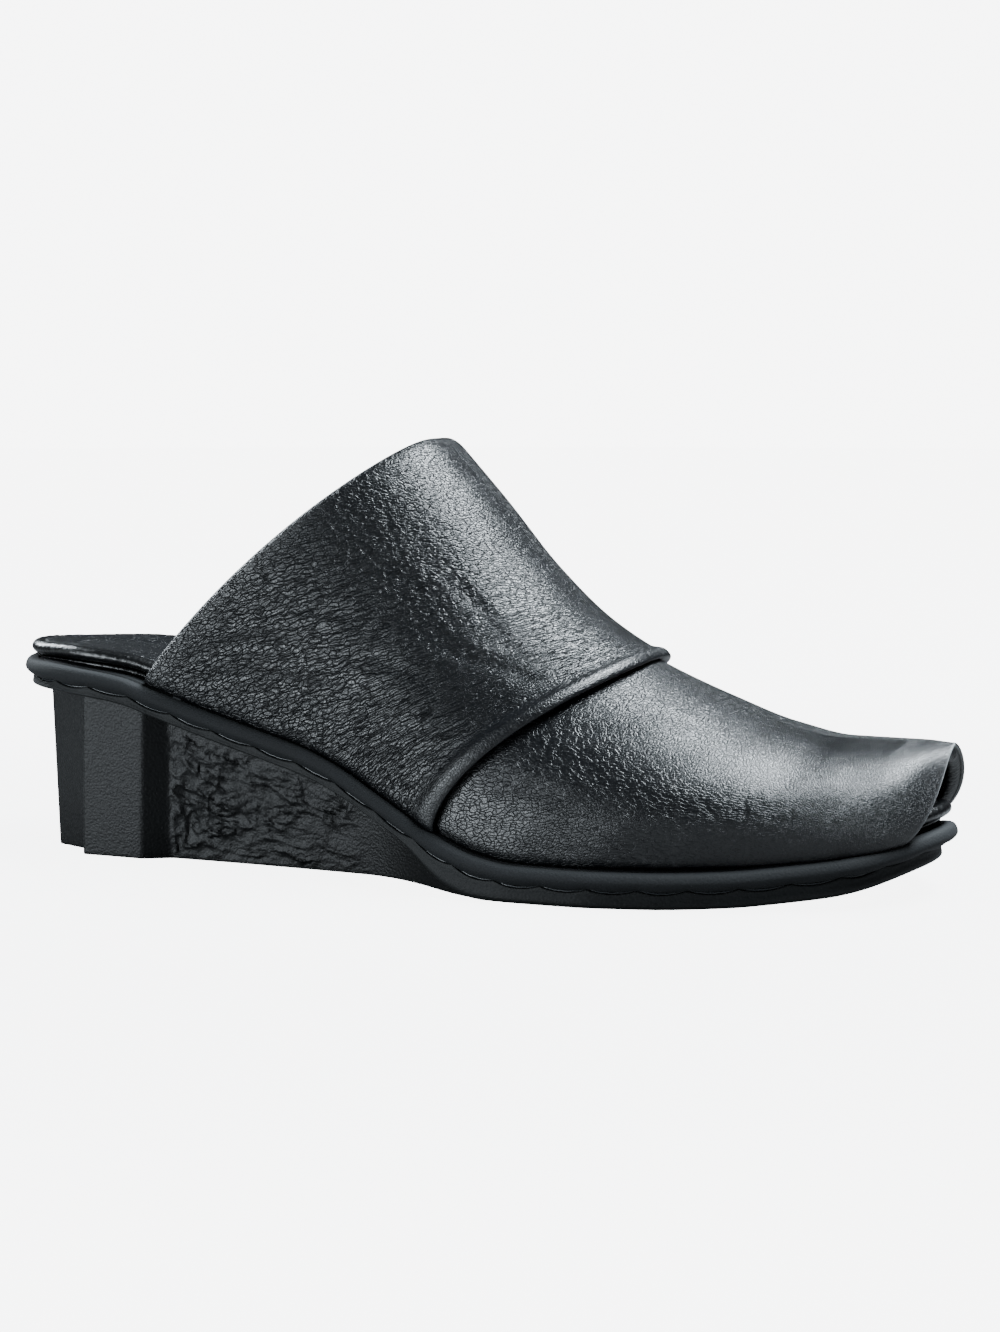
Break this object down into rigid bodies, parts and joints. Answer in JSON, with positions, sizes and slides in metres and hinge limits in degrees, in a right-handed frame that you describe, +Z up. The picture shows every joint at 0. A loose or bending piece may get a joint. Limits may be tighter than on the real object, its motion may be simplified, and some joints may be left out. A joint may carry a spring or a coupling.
{
  "type": "open-toe wedge mule",
  "caption": "Backless right shoe with a hollow leather upper, a wide instep band, a small toe opening, a layered insole and a rubber wedge sole with a cross-shaped heel.",
  "frame": {"origin": "centre of the footprint box, on the floor the shoe stands on", "axes": "+X towards the toe, +Y towards the inner (big toe) side, +Z up"},
  "size_m": [0.254, 0.0918, 0.1108],
  "materials": {
    "outsole_rubber": "matte",
    "rim_rubber": "matte",
    "insole_leather": "satin",
    "footbed_leather": "satin",
    "upper_leather": "satin",
    "band_leather": "satin"
  },
  "bodies": {
    "root": {"outsole": "outsole_rubber", "midsole_rim": "rim_rubber", "insole_base": "insole_leather", "footbed": "footbed_leather", "upper": "upper_leather", "instep_band": "band_leather"}
  },
  "joints": []
}
